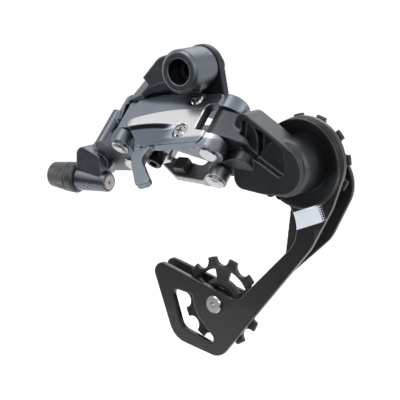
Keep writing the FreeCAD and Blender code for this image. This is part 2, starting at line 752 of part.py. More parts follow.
def coil(name, frame, radius, wire, low, high, turns):
    """Round-wire coil about a frame's Z axis."""
    low, length = as_size(low), as_size(high) - low
    helix = DOC.addObject("Part::Helix", name + "_path")
    helix.Pitch = length.value / turns
    helix.Height = length.value
    helix.Radius = radius.value
    helix.SegmentLength = 0
    helix.setExpression("Radius", radius.text)
    helix.setExpression("Height", length.text)
    helix.setExpression("Pitch", (length / turns).text)
    section = DOC.addObject("Part::Circle", name + "_section")
    section.Radius = wire.value
    section.setExpression("Radius", wire.text)
    section.Placement = turned((1, 0, 0), 90, radius.value, 0, 0)
    DOC.recompute()
    sweep = DOC.addObject("Part::Sweep", name)
    sweep.Label = name
    sweep.Sections = [section]
    sweep.Spine = (helix, ["Edge1"])
    sweep.Solid = True
    sweep.Frenet = True
    sweep.Placement = frame.multiply(turned((0, 0, 1), 0, 0, 0, low.value))
    DOC.recompute()
    return keep(sweep)


# ---------------------------------------------------------------- cable adjuster

CABLE_FRAME = turned((0, 1, 0), 90, 0, D["cable_axis_y"].value, D["cable_axis_z"].value)


def adjuster_knob():
    """Fluted grip that turns on the cable's axis."""
    body = new_body("adjuster_knob", CABLE_FRAME)
    near = D["cable_boss_rear"] - 0.4
    far = near - D["knob_length"]
    big = D["knob_radius"]
    small = D["knob_end_radius"]
    bore = D["barrel_thread_radius"] + 1.0
    turn(body,
         [(bore, far + 1, 0), (D["housing_socket_radius"] + 1.5, far, 0), (small - 1.4, far, 0),
          (small, far + 1.4, 0),
                (big, near - 4.5, 0), (big, near - 1.0, 0), (big - 1.0, near, 0), (bore, near, 0)])
    groove(body,
           [(big - 0.7, near - 5.6, 0), (big + 2, near - 5.6, 0), (big + 2, near - 4.8, 0),
            (big - 0.7, near - 4.8, 0)])
    flute = pocket(body, "top", far - 1, near - 6.4, (big + 3.6, 0, 4.6))
    repeat_round(body, flute, 6)
    return keep(body)


def adjuster_barrel():
    """Threaded barrel in the grip, with the socket that the cable housing seats in."""
    body = new_body("adjuster_barrel", CABLE_FRAME)
    near = D["cable_boss_rear"] - 0.4
    far = near - D["knob_length"]
    outer = D["barrel_thread_radius"] + 1.0
    socket = far + D["housing_socket_depth"]
    turn(body,
         [(D["housing_socket_radius"], far, 0), (outer, far + 1, 0), (outer, near, 0),
          (D["barrel_thread_radius"], near, 0),
                (D["barrel_thread_radius"], ADJUSTER_BARREL_END, 0), (1.2, ADJUSTER_BARREL_END, 0),
                (1.2, socket, 0), (D["housing_socket_radius"], socket, 0)])
    return keep(body)


def cable_liner():
    """Smooth ring in the boss's mouth that the cable slides through."""
    return keep(ring("cable_liner", CABLE_FRAME, D["cable_hole_radius"], LINER_RADIUS, LINER_START,
                     D["cable_boss_mouth"] + 0.2))


# ---------------------------------------------------------------- cage knuckle

PIVOT = across_at(D["cage_axis_x"], D["cage_axis_z"])
CAVITY_FLOOR = D["housing_front"] + 4.0
BEARING_END = -2.0
CAGE_BUSH_OUTER = D["axle_radius"] + D["run_gap"] + 1.4


def knuckle_housing():
    """Round housing of the cage spring, with a tapered nose."""
    body = new_body("knuckle_housing", PIVOT)
    outer = D["housing_radius"]
    turn(body, [(0, D["housing_front"], 0), (outer - 3.2, D["housing_front"], 0), (outer - 0.5, -14.5, 0),
                (outer, -12, 0),
                (outer, D["housing_back"], 0), (0, D["housing_back"], 0)])
    return body


def knuckle_web():
    """Arm between the pins and the housing, with a deep pocket in its outer face."""
    body = new_body("knuckle_web")
    axis_x, axis_z = D["cage_axis_x"], D["cage_axis_z"]
    front = D["housing_front"] - 0.8
    pad(body, "face", front, -3.5,
        [(34.5, -47.5, 5.5), (46, -48, 6), (axis_x + 1.0, axis_z, 11.5), (33.5, -21, 4)])
    pocket(body, "face", front - 1, front + 8, [(34.0, -33.6, 1.0), (54.0, -43.6, 1.2), (54.6, -41.8, 1.4),
                                                (53.2, -34.2, 1.6), (34.4, -22.2, 1.2)])
    return body


def knuckle_bosses():
    """Two bosses, along the pins, that the links' front ends turn on."""
    body = new_body("knuckle_bosses", SLANT)
    outer = FRONT_PIN_ACROSS
    inner = outer + D["pin_spread"]
    pad(body, "top", BOSS_LOW, BOSS_HIGH,
        [(FRONT_PIN_X, outer, D["boss_radius"]), (34, outer + 4, 6), (34, outer + 8, 6)])
    pad(body, "top", INNER_BOSS_LOW, BOSS_HIGH,
        [(FRONT_PIN_X, inner, D["inner_lug_radius"] - 0.2), (34, inner - 5, 6), (34, inner - 2, 6)])
    return body


def housing_cavity():
    """Room for the cage spring, around the bearing boss."""
    body = new_body("housing_cavity", PIVOT)
    shell = D["housing_radius"] - 2.0
    bearing = CAGE_BUSH_OUTER + 1.2
    past = D["housing_back"] + 1
    turn(body, [(bearing, CAVITY_FLOOR, 0), (shell, CAVITY_FLOOR, 0), (shell, past, 0), (0, past, 0),
                (0, BEARING_END, 0), (bearing, BEARING_END, 0)])
    return body


def p_knuckle():
    """Forging between the links and the cage."""
    lug = new_body("cage_stop_lug")
    pad(lug, "face", -5.0, 2.6, [(STOP_LUG_X, STOP_LUG_Z, 2.4), (44, -46, 3), (36, -46, 3)])
    solid = fused("cage_knuckle_solid", [knuckle_housing(), knuckle_web(), knuckle_bosses(), lug])
    inner = FRONT_PIN_ACROSS + D["pin_spread"]
    holes = [rod(f"front_hole_{k}", SLANT, BUSH_OUTER, -60, 0, FRONT_PIN_X, across)
             for k, across in enumerate([FRONT_PIN_ACROSS, inner])]
    bearing = rod("cage_bearing_hole", PIVOT, CAGE_BUSH_OUTER, CAVITY_FLOOR, BEARING_END + 1)
    hollow = new_body("knuckle_hollow")
    front = D["housing_front"]
    pad(hollow, "face", front - 2, front + 2.8,
        [(34.0, -31.5, 1.0), (43.8, -37.6, 1.4), (54.6, -43.2, 1.4), (55.6, -39.5, 1.6), (54.0, -32.6, 1.8),
         (47.6, -28.2, 1.6), (34.4, -21.6, 1.2)])
    rim_room = ring("dish_rim_room", PIVOT, D["dish_floor_radius"], D["dish_radius"] + 2, RIM_OUT - 0.4,
                    D["chain_line"])
    return keep(less("p_knuckle", solid, [housing_cavity(), bearing, hollow, rim_room] + holes))


# ---------------------------------------------------------------- cage

STOP_RING = 17.3
STOP_ANGLE = 243.0
STOP_PIN_RADIUS = 2.0
STOP_PIN_X = SIZES["cage_axis_x"] + STOP_RING * math.cos(math.radians(STOP_ANGLE))
STOP_PIN_Z = SIZES["cage_axis_z"] + STOP_RING * math.sin(math.radians(STOP_ANGLE))
STOP_LUG_X = STOP_PIN_X - 4.5
STOP_LUG_Z = STOP_PIN_Z + 1.2

PLATE_BACK = D["chain_line"] - D["plate_gap"]
PLATE_OUT = PLATE_BACK - D["outer_plate_thickness"]
RIM_OUT = PLATE_OUT - D["dish_rim_height"]
FLOOR_OUT = PLATE_BACK - D["dish_floor"]
INNER_FACE = D["chain_line"] + D["plate_gap"]
INNER_BACK = INNER_FACE + D["inner_plate_thickness"]


def cage_axle():
    """Axle fixed in the outer plate, turning in the knuckle, tapped for the upper pulley bolt."""
    body = new_body("cage_axle", PIVOT)
    low = CAVITY_FLOOR + 0.5
    turn(body, [(0, low, 0), (D["axle_radius"] - 0.5, low, 0), (D["axle_radius"], low + 0.5, 0),
                (D["axle_radius"], PLATE_BACK, 0), (0, PLATE_BACK, 0)])
    pocket(body, "top", -2, PLATE_BACK + 1, (0, 0, D["pulley_bolt_radius"]))
    return keep(body)


def plate_dish(body):
    """Raised rim and hollow around the cage axis, open where the knuckle's arm passes."""
    frame = new_body("dish_rim", PIVOT)
    turn(frame, ring_profile(D["dish_floor_radius"] - 3, D["dish_radius"], RIM_OUT, PLATE_BACK))
    hollow = new_body("dish_hollow", PIVOT)
    turn(hollow,
         [(0, RIM_OUT - 1, 0), (D["dish_radius"] - 1.2, RIM_OUT - 1, 0), (D["dish_radius"] - 1.2, RIM_OUT, 0),
                  (D["dish_floor_radius"], FLOOR_OUT, 0), (0, FLOOR_OUT, 0)])
    return frame, hollow


def outer_cage_plate():
    """Outer plate: dished top, curved arm and an open lower loop."""
    body = new_body("plate_blank")
    axis_x, axis_z = D["cage_axis_x"], D["cage_axis_z"]
    low_x, low_z = D["guide_pulley_x"], D["guide_pulley_z"]
    pad(body, "face", PLATE_OUT, PLATE_BACK,
        [(low_x - 16.1, low_z - 11.1, 12.5), (low_x, low_z - 18.6, 8.3), (40, -70.5, 22), (49.5, -53, 22),
         (axis_x + 1.5, axis_z + 1, D["dish_radius"]),
         (34.5, -73.8, -16), (low_x + 11.5, low_z + 10.3, -6), (low_x - 32.6, low_z + 11.4, 5)])
    pocket(body, "face", PLATE_OUT - 1, PLATE_BACK + 1,
           [(low_x - 22.9, low_z + 1.3, 2.5), (low_x - 15.7, low_z - 10.7, 5.5),
            (low_x - 2.7, low_z - 18.3, 2),
            (low_x, low_z, -13), (low_x - 14.7, low_z + 1.7, 1)])
    pad(body, "face", PLATE_BACK, D["chain_line"] + 1,
        [(low_x - 35.0, low_z + 12.4, 2.2), (low_x - 33.7, low_z + 7.9, 1.8),
         (low_x - 33.1, low_z + 8.3, 1.8)])
    rim, hollow = plate_dish(body)
    solid = fused("plate_solid", [body, rim])
    gap = new_body("dish_gap")
    reach = D["dish_floor_radius"] + 0.4
    pad(gap, "face", RIM_OUT - 1, PLATE_BACK + 1,
        [(axis_x, axis_z, -reach), (axis_x - 17, axis_z - 22, 0.6), (axis_x - 30, axis_z - 4, 0),
         (axis_x - 24, axis_z + 20, 0), (axis_x - 13.5, axis_z + 15.5, 1.6)][::-1])
    holes = [rod("axle_hole", PIVOT, D["axle_radius"], RIM_OUT - 1, PLATE_BACK + 1),
             rod("guide_bolt_hole", across_at(low_x, low_z), D["pulley_bolt_radius"], RIM_OUT - 1,
                 PLATE_BACK + 1),
             rod("stop_pin_hole", across_at(STOP_PIN_X, STOP_PIN_Z), 1.3, RIM_OUT - 1, PLATE_BACK + 1)]
    return keep(less("outer_cage_plate", solid, [hollow, gap] + holes))


def inner_cage_plate():
    """Inner plate, seen past the pulleys, with a lightening window under the upper pulley."""
    body = new_body("inner_cage_plate")
    axis_x, axis_z = D["cage_axis_x"], D["cage_axis_z"]
    low_x, low_z = D["guide_pulley_x"], D["guide_pulley_z"]
    pad(body, "face", INNER_FACE, INNER_BACK,
        [(low_x, low_z, 11.5), (47, -66.5, 20), (57.5, -52, 17.2), (axis_x, axis_z, 9.5), (33, -88, -5),
         (14.5, -107, -6), (-30.5, -106.5, 4)])
    pocket(body, "face", INNER_FACE - 1, INNER_BACK + 1,
           [(62, -54.5, 2.2), (54.5, -55.5, 2), (50, -68, 3), (54.5, -71, 3)])
    for x, z in ((axis_x, axis_z), (low_x, low_z)):
        pocket(body, "face", INNER_FACE - 1, INNER_BACK + 1, (x, z, D["pulley_bolt_radius"]))
    return keep(body)


def cage_stop_pin():
    """Pin on the outer plate that meets the knuckle's lug when the chain is slack."""
    body = new_body("cage_stop_pin", across_at(STOP_PIN_X, STOP_PIN_Z))
    turn(body,
         [(0, -4.0, 0), (STOP_PIN_RADIUS - 0.4, -4.0, 0), (STOP_PIN_RADIUS, -3.6, 0),
          (STOP_PIN_RADIUS, RIM_OUT + 0.4, 0),
                (1.3, RIM_OUT + 0.4, 0), (1.3, PLATE_BACK, 0), (0, PLATE_BACK, 0)])
    return keep(body)


def upper_pulley_bolt():
    """Bolt from the inner plate into the cage axle."""
    body = new_body("upper_pulley_bolt", PIVOT)
    face = D["bolt_face_radius"]
    shank = D["pulley_bolt_radius"]
    top = INNER_BACK + 2.0
    turn(body,
         [(0, -1, 0), (shank, -1, 0), (shank, INNER_BACK, 0), (face, INNER_BACK, 0), (face, top - 0.8, 0),
                (face - 1.2, top, 0), (0, top, 0)])
    pocket(body, "top", top - 1.6, top + 1, hexagon(1.5))
    return keep(body)


def lower_pulley_bolt():
    """Bolt from the outer plate into the tapped inner plate."""
    body = new_body("lower_pulley_bolt", across_at(D["guide_pulley_x"], D["guide_pulley_z"]))
    face = D["bolt_face_radius"]
    shank = D["pulley_bolt_radius"]
    front = PLATE_OUT - 1.2
    turn(body,
         [(0, front, 0), (face - 0.5, front, 0), (face, front + 0.5, 0), (face, PLATE_OUT, 0),
          (shank, PLATE_OUT, 0),
                (shank, INNER_BACK + 0.3, 0), (0, INNER_BACK + 0.3, 0)])
    pocket(body, "top", front - 1, front + 1.6, hexagon(1.25))
    return keep(body)


# ---------------------------------------------------------------- pulleys

def pulley(name, frame, first_tooth):
    """Toothed wheel with slots in its web, about the frame's Z axis at the chain line."""
    body = new_body(name, frame)
    middle = D["chain_line"]
    tooth = D["tooth_thickness"] / 2
    hub = D["hub_thickness"] / 2
    tip = D["tip_radius"]
    bore = D["pulley_bush_radius"] + D["run_gap"]
    lip = D["hub_radius"] + 1.6
    seat = hub - 0.8
    turn(body,
         [(bore, middle - seat, 0), (D["hub_radius"] - 0.4, middle - seat, 0),
          (D["hub_radius"] - 0.4, middle - hub, 0),
                (lip, middle - hub, 0), (lip + 0.6, middle - 1.2, 0), (tip - 5.4, middle - 1.2, 0),
          (tip - 4.6, middle - tooth - 0.35, 0),
                (tip - 0.6, middle - tooth, 0), (tip, middle - tooth + 0.6, 0),
                (tip, middle + tooth - 0.6, 0), (tip - 0.6, middle + tooth, 0),
          (tip - 4.6, middle + tooth + 0.35, 0),
                (tip - 5.4, middle + 1.2, 0), (lip + 0.6, middle + 1.2, 0), (lip, middle + hub, 0),
                (D["hub_radius"] - 0.4, middle + hub, 0), (D["hub_radius"] - 0.4, middle + seat, 0),
          (bore, middle + seat, 0)])
    half_step = as_size(180) / D["tooth_count"]
    pitch_radius = D["chain_pitch"] / 2 / sine(half_step)
    angle = half_step + first_tooth
    gap = pocket(body, "top", middle - 5, middle + 5,
                 (pitch_radius * cosine(angle), pitch_radius * sine(angle), D["roller_radius"]))
    repeat_round(body, gap, D["tooth_count"])
    slot = groove(body,
                  [(lip + 1.4, middle - 4, 0), (tip - 6.0, middle - 4, 0), (tip - 6.0, middle + 4, 0),
                   (lip + 1.4, middle + 4, 0)], 42)
    repeat_round(body, slot, 5)
    return keep(body)


def pulley_bush(name, frame):
    """Sleeve clamped between the cage plates, that the pulley turns on."""
    return keep(ring(name, frame, D["pulley_bolt_radius"], D["pulley_bush_radius"], PLATE_BACK, INNER_FACE))


def pulley_shields(name, frame):
    """Two thin shields on the bush, one at each side of the pulley's hub."""
    hub = D["hub_thickness"] / 2 - 0.8
    gap = 0.15
    sheet = 0.5
    middle = D["chain_line"]
    near = ring(name + "_near", frame, D["pulley_bush_radius"], D["shield_radius"],
                middle - hub - gap - sheet, middle - hub - gap)
    far = ring(name + "_far", frame, D["pulley_bush_radius"], D["shield_radius"], middle + hub + gap,
               middle + hub + gap + sheet)
    pair = DOC.addObject("Part::Compound", name)
    pair.Label = name
    pair.Links = [near, far]
    DOC.recompute()
    return keep(pair)


# ---------------------------------------------------------------- assembly

def build():
    """Make every sub-part."""
    b_knuckle()
    hanger_bolt()
    hanger_sleeve()
    b_stop_plate()
    b_tension_screw()
    outer_across = D["rear_pin_across"]
    rear = [slant_point(D["rear_pin_x"], outer_across),
            slant_point(D["rear_pin_x"], outer_across + D["pin_spread"])]
    front = [slant_point(FRONT_PIN_X, FRONT_PIN_ACROSS),
             slant_point(FRONT_PIN_X, FRONT_PIN_ACROSS + D["pin_spread"])]
    pin("outer_rear_pin", rear[0], D["fork_low"], D["fork_high"])
    pin("inner_rear_pin", rear[1], D["fork_low"], D["fork_high"])
    pin("outer_front_pin", front[0], D["front_low"], D["front_high"])
    pin("inner_front_pin", front[1], D["inner_low"], D["inner_high"])
    pin_bush("outer_rear_bush", rear[0], LUG_LOW, LUG_HIGH)
    pin_bush("inner_rear_bush", rear[1], LUG_LOW, SPRING_LOW)
    pin_bush("outer_front_bush", front[0], BOSS_LOW, BOSS_HIGH)
    pin_bush("inner_front_bush", front[1], INNER_BOSS_LOW, BOSS_HIGH)
    outer_link()
    for name, level in LIMIT_SCREW_LEVELS.items():
        limit_screw(name, level)
    cable_anchor_bolt()
    cable_clamp_washer()
    inner_link()
    limit_stop_block()
    coil("return_spring", rear[1], BUSH_OUTER + 0.65, as_size(0.5), SPRING_LOW + 0.8, SPRING_HIGH - 0.8, 5)
    adjuster_knob()
    adjuster_barrel()
    cable_liner()
    p_knuckle()
    keep(ring("cage_bush", PIVOT, D["axle_radius"] + D["run_gap"], CAGE_BUSH_OUTER, CAVITY_FLOOR,
              BEARING_END))
    coil("cage_spring", PIVOT, D["spring_mean_radius"] + 0.7, D["spring_wire"] - 0.1, CAVITY_FLOOR + 1.4,
         D["housing_back"] - 3.0, 5)
    keep(ring("cage_seal", PIVOT, D["housing_radius"] - 4.2, D["housing_radius"] - 2.0,
              D["housing_back"] - 1.4, D["housing_back"]))
    cage_axle()
    outer_cage_plate()
    inner_cage_plate()
    cage_stop_pin()
    upper_pulley_bolt()
    lower_pulley_bolt()
    low = across_at(D["guide_pulley_x"], D["guide_pulley_z"])
    for name, frame, first_tooth in (("upper", PIVOT, 221.7), ("lower", low, -104.9)):
        pulley(name + "_pulley", frame, first_tooth)
        pulley_bush(name + "_pulley_bush", frame)
        pulley_shields(name + "_pulley_shields", frame)


def check():
    """Refuse a failed or empty shape before anything is written."""
    DOC.recompute()
    for thing in DOC.Objects:
        if "Invalid" in thing.State or "Error" in thing.State:
            raise ValueError("failed: " + thing.Name)
    for piece in NODES:
        if piece.Shape.isNull() or not piece.Shape.isValid():
            raise ValueError("bad shape: " + piece.Label)
        if piece.Shape.Volume <= 0:
            raise ValueError("no volume: " + piece.Label)


build()
check()
os.makedirs("parts", exist_ok=True)
for node in NODES:
    node.Shape.exportStep(os.path.join("parts", node.Label + ".step"))
    print(node.Label, len(node.Shape.Solids), round(node.Shape.Volume, 1))
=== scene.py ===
import json
import math
import bpy
import numpy as np
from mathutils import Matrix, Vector


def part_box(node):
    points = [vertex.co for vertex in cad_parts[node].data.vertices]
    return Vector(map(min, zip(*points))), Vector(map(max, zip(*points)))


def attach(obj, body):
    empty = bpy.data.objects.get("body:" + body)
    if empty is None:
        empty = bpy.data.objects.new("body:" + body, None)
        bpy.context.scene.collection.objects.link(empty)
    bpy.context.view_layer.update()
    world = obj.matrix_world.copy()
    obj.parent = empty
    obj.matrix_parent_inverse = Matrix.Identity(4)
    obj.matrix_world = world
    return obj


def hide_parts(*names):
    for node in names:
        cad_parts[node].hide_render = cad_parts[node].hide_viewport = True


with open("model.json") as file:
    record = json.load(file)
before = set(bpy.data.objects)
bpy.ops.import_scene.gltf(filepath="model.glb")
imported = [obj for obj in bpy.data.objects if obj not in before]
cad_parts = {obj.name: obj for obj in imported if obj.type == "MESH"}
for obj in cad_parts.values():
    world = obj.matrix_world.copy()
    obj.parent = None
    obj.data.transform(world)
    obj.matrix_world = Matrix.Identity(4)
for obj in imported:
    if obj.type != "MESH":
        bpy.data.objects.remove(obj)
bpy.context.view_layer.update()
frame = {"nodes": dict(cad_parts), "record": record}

MM = 0.001
SLANT = math.radians(46)
ACROSS = Vector((0, math.cos(SLANT), -math.sin(SLANT)))   # inboard and down, square to the link pins
PINS = Vector((0, math.sin(SLANT), math.cos(SLANT)))      # along the link pins


# ---------------------------------------------------------------- shader helpers

class Paint:
    """A principled material and short calls for the maths nodes that drive it."""

    def __init__(self, name, color, metallic, roughness, coat=0.0):
        self.material = bpy.data.materials.new(name)
        self.material.use_nodes = True
        self.material.diffuse_color = (*color, 1)
        self.tree = self.material.node_tree
        self.shader = self.tree.nodes["Principled BSDF"]
        self.shader.inputs["Base Color"].default_value = (*color, 1)
        self.shader.inputs["Metallic"].default_value = metallic
        self.shader.inputs["Roughness"].default_value = roughness
        self.shader.inputs["Coat Weight"].default_value = coat
        place = self.tree.nodes.new("ShaderNodeTexCoord").outputs["Object"]
        scaled = self.tree.nodes.new("ShaderNodeVectorMath")
        scaled.operation = "SCALE"
        scaled.inputs["Scale"].default_value = 1000.0
        self.tree.links.new(place, scaled.inputs[0])
        self.place = scaled.outputs[0]

    def feed(self, socket, value):
        """Link a node's output to a socket, or set a plain value on it."""
        if isinstance(value, bpy.types.NodeSocket):
            self.tree.links.new(value, socket)
        else:
            socket.default_value = value

    def math(self, operation, a, b=0.0, c=0.0):
        """One maths operation on up to three values."""
        node = self.tree.nodes.new("ShaderNodeMath")
        node.operation = operation
        for socket, value in zip(node.inputs, (a, b, c)):
            self.feed(socket, value)
        return node.outputs[0]

    def along(self, direction):
        """Position in millimetres along a direction."""
        node = self.tree.nodes.new("ShaderNodeVectorMath")
        node.operation = "DOT_PRODUCT"
        self.tree.links.new(self.place, node.inputs[0])
        node.inputs[1].default_value = tuple(direction)
        return node.outputs["Value"]

    def step(self, value, low, high):
        """0 below low, 1 above high, smooth between."""
        node = self.tree.nodes.new("ShaderNodeMapRange")
        node.interpolation_type = "SMOOTHSTEP"
        self.feed(node.inputs["Value"], value)
        node.inputs["From Min"].default_value = low
        node.inputs["From Max"].default_value = high
        return node.outputs["Result"]

    def noise(self, scale, detail=4.0, stretch=None):
        """Noise in millimetres, stretched along the axes if asked."""
        node = self.tree.nodes.new("ShaderNodeTexNoise")
        node.inputs["Scale"].default_value = scale
        node.inputs["Detail"].default_value = detail
        source = self.place
        if stretch:
            move = self.tree.nodes.new("ShaderNodeMapping")
            move.inputs["Scale"].default_value = stretch
            self.tree.links.new(source, move.inputs[0])
            source = move.outputs[0]
        self.tree.links.new(source, node.inputs["Vector"])
        return node.outputs["Fac"]

    def mix(self, factor, first, second):
        """Blend of two colours."""
        node = self.tree.nodes.new("ShaderNodeMix")
        node.data_type = "RGBA"
        self.feed(node.inputs["Factor"], factor)
        for key, value in (("A", first), ("B", second)):
            socket = [s for s in node.inputs if s.name == key and s.type == "RGBA"][0]
            self.feed(socket, (*value, 1) if isinstance(value, tuple) else value)
        return [s for s in node.outputs if s.type == "RGBA"][0]

    def mix_value(self, factor, first, second):
        """Blend of two numbers."""
        node = self.tree.nodes.new("ShaderNodeMix")
        node.data_type = "FLOAT"
        self.feed(node.inputs[0], factor)
        self.feed(node.inputs[2], first)
        self.feed(node.inputs[3], second)
        return node.outputs[0]

    def painted_edge_highlight(self):
        """How far the surface here is an outward edge, broken up by a little noise: the mask for the painted
        highlight on edges.
        """
        point = self.tree.nodes.new("ShaderNodeNewGeometry").outputs["Pointiness"]
        broken = self.math("MULTIPLY_ADD", self.noise(0.9, 3), 0.04, point)
        return self.step(broken, 0.55, 0.64)

    def bump(self, height, strength, distance):
        """Fine relief, with its depth in millimetres."""
        node = self.tree.nodes.new("ShaderNodeBump")
        node.inputs["Strength"].default_value = strength
        node.inputs["Distance"].default_value = distance * MM
        self.feed(node.inputs["Height"], height)
        self.tree.links.new(node.outputs[0], self.shader.inputs["Normal"])

    def set_color(self, value):
        self.feed(self.shader.inputs["Base Color"], value)

    def set_roughness(self, value):
        self.feed(self.shader.inputs["Roughness"], value)


def shade(color, amount):
    """A colour made darker or lighter."""
    return tuple(min(1.0, c * amount) for c in color)


def forged(name, color, metallic, roughness, grain=2.2, coat=0.0, depth=0.012, edge_highlight_gain=2.2):
    """Bead-blasted and anodised metal: fine grain, slow colour drift, a painted highlight on outward edges
    and handling marks in its gloss.
    """
    paint = Paint(name, color, metallic, roughness, coat)
    drift = paint.noise(0.07, 3)
    paint.drift = paint.mix(drift, shade(color, 0.8), shade(color, 1.25))
    # painted highlight: outward edges are mixed toward a lighter copy of the colour, so paint.drift now
    # holds the colour drift and this painted edge highlight together
    paint.drift = paint.mix(paint.painted_edge_highlight(), paint.drift, shade(color, edge_highlight_gain))
    paint.set_color(paint.drift)
    smudge = paint.noise(0.35, 5)
    paint.gloss = paint.math("MULTIPLY_ADD", smudge, 0.16, roughness - 0.08)
    paint.set_roughness(paint.gloss)
    paint.grain = paint.noise(grain, 2)
    paint.bump(paint.grain, 0.25, depth)
    return paint


def turned_metal(name, color, roughness, axis):
    """Lathe-turned metal: fine rings about its own axis, and faint scratches."""
    paint = Paint(name, color, 1.0, roughness)
    scratches = paint.noise(0.8, 6, (6, 1, 1))
    paint.set_color(paint.mix(scratches, shade(color, 0.86), shade(color, 1.06)))
    paint.set_roughness(paint.math("MULTIPLY_ADD", scratches, 0.18, roughness - 0.09))
    rings = paint.math("SINE", paint.math("MULTIPLY", paint.along(axis), 18.0))
    paint.bump(paint.math("ADD", rings, scratches), 0.15, 0.006)
    return paint


def moulded(name, color, roughness, depth=0.02):
    """Moulded polymer: fine texture and slightly uneven gloss."""
    paint = Paint(name, color, 0.0, roughness)
    paint.shader.inputs["Specular IOR Level"].default_value = 0.5
    uneven = paint.noise(0.5, 4)
    paint.set_color(paint.mix(uneven, shade(color, 0.75), shade(color, 1.4)))
    paint.set_roughness(paint.math("MULTIPLY_ADD", uneven, 0.2, roughness - 0.1))
    paint.bump(paint.noise(3.0, 3), 0.3, depth)
    return paint


# ---------------------------------------------------------------- finishes

GREY = (0.115, 0.128, 0.148)
DARK = (0.048, 0.052, 0.060)
BLACK = (0.0065, 0.0065, 0.0075)
SILVER = (0.45, 0.455, 0.47)

grey = forged("grey anodised", GREY, 1.0, 0.36)
dark = forged("dark anodised", DARK, 0.9, 0.38)
inner_black = forged("black anodised inner", BLACK, 0.0, 0.42)
# satin silver gets a weaker painted edge highlight
silver = forged("satin silver", (0.27, 0.277, 0.29), 1.0, 0.33, depth=0.006, edge_highlight_gain=1.2)
bright = turned_metal("bright steel", SILVER, 0.2, PINS)
bright_across = turned_metal("bright steel across", SILVER, 0.22, (0, 1, 0))
blackened = turned_metal("blackened steel", (0.035, 0.035, 0.038), 0.32, PINS)
plate_steel = forged("stop plate", (0.030, 0.034, 0.043), 0.9, 0.42)
polymer = moulded("pulley polymer", (0.014, 0.014, 0.015), 0.42)
grip = moulded("grip polymer", (0.022, 0.023, 0.026), 0.34)
liner = moulded("liner polymer", (0.30, 0.27, 0.27), 0.42)
bush = moulded("bush polymer", (0.16, 0.15, 0.14), 0.5)
rubber = moulded("seal rubber", (0.012, 0.012, 0.012), 0.7)


def link_finish():
    """Outer link: matte upper zone, machined silver crescent with tool lines, polished scoop."""
    paint = forged("outer link", shade(GREY, 1.5), 1.0, 0.4)
    x = paint.along((1, 0, 0))
    across = paint.along(ACROSS)
    level = paint.along(PINS)

    def arc(top, steep, middle):
        offset = paint.math("ADD", x, -middle)
        return paint.math("MULTIPLY_ADD", paint.math("MULTIPLY", offset, offset), -steep, top)

    below_top = paint.math("SUBTRACT", arc(-25.0, 0.0054, 11.0), level)
    below_bottom = paint.math("SUBTRACT", arc(-34.2, 0.0065, -6.0), level)
    machined = paint.step(below_top, -0.15, 0.15)
    scoop = paint.math("MULTIPLY", paint.step(below_bottom, -0.2, 0.5), paint.step(x, 8.0, -6.0))
    scoop = paint.math("MULTIPLY", scoop, paint.step(level, -48.5, -46.5))
    tail = paint.step(x, -30.0, -26.0)
    outside = paint.step(across, 12.0, 9.0)
    front = paint.step(x, 27.0, 22.0)
    machined = paint.math("MULTIPLY", paint.math("MULTIPLY", machined, tail),
                          paint.math("MULTIPLY", outside, front))
    machined = paint.math("MULTIPLY", machined, paint.math("SUBTRACT", 1.0, scoop))
    lower = paint.step(paint.math("MULTIPLY_ADD", x, -0.16, level), -43.8, -42.0)
    machined = paint.math("MULTIPLY", machined, lower)
    # paint.drift holds the colour drift and the painted edge highlight
    color = paint.mix(scoop, paint.drift, (0.13, 0.15, 0.18))
    color = paint.mix(machined, color, (0.66, 0.66, 0.67))
    paint.set_color(color)
    gloss = paint.mix_value(scoop, paint.gloss, 0.22)
    paint.set_roughness(paint.mix_value(machined, gloss, 0.24))
    reach = paint.math("SQRT", paint.math("ADD", paint.math("POWER", paint.math("ADD", x, -6.0), 2.0),
                                          paint.math("POWER", paint.math("ADD", level, 2.0), 2.0)))
    lines = paint.math("SINE", paint.math("MULTIPLY", reach, 6.3))
    height = paint.mix_value(machined, paint.grain, lines)
    paint.bump(height, 0.3, 0.02)
    return paint


